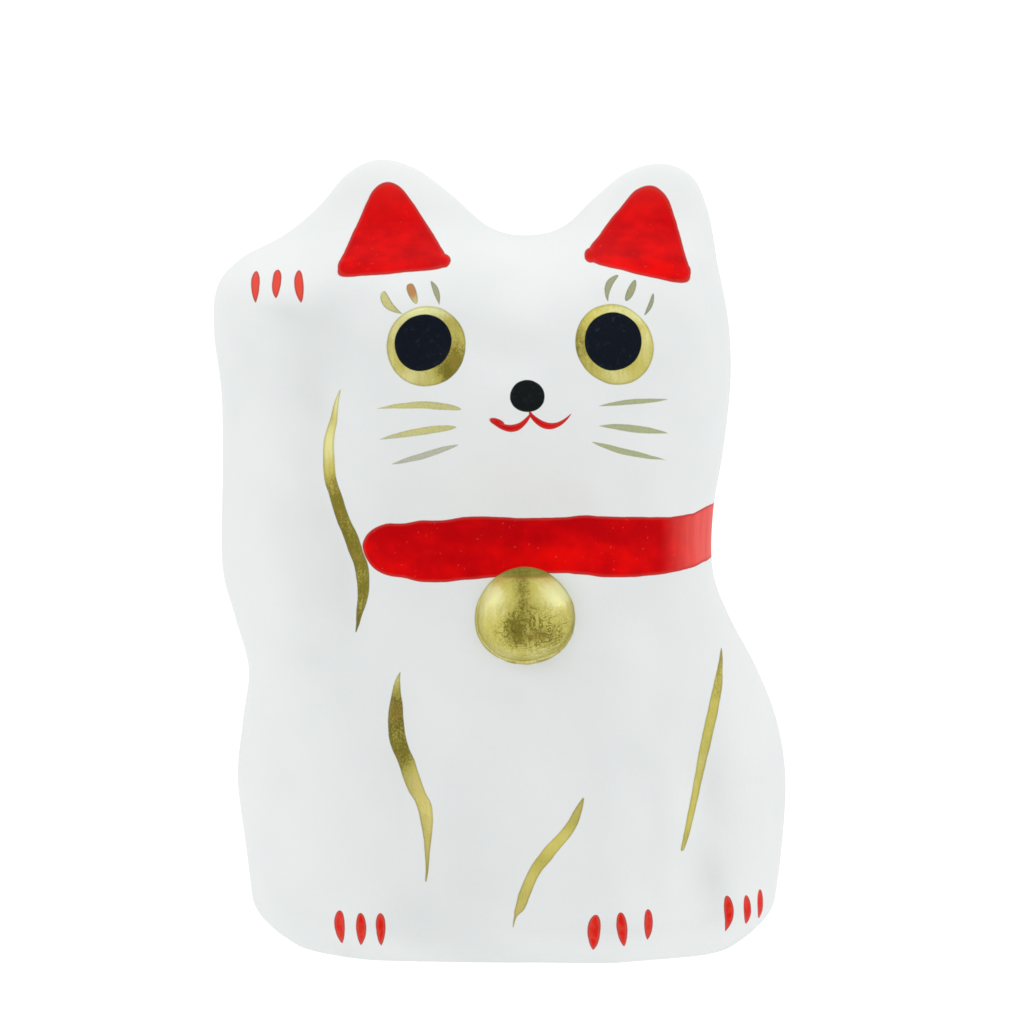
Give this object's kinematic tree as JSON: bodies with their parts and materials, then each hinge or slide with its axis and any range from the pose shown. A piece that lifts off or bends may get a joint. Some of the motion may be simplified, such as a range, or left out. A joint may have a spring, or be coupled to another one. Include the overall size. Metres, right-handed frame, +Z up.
{
  "type": "lucky cat figurine",
  "caption": "Sitting lucky cat of moulded and painted paper, one paw raised beside its head, with a red collar and a gold bell; stands on a flat underside.",
  "frame": {"origin": "middle of the box's underside, on the surface that the cat stands on", "axes": "+Z up through the ears, the cat faces -Y, its raised right paw is towards -X"},
  "size_m": [0.0874, 0.072, 0.12],
  "materials": {
    "painted_paper": "matte shell-white ground over moulded paper, with brush-painted red, gold and black"
  },
  "bodies": {
    "root": {"lucky_cat": "painted_paper"}
  },
  "joints": []
}
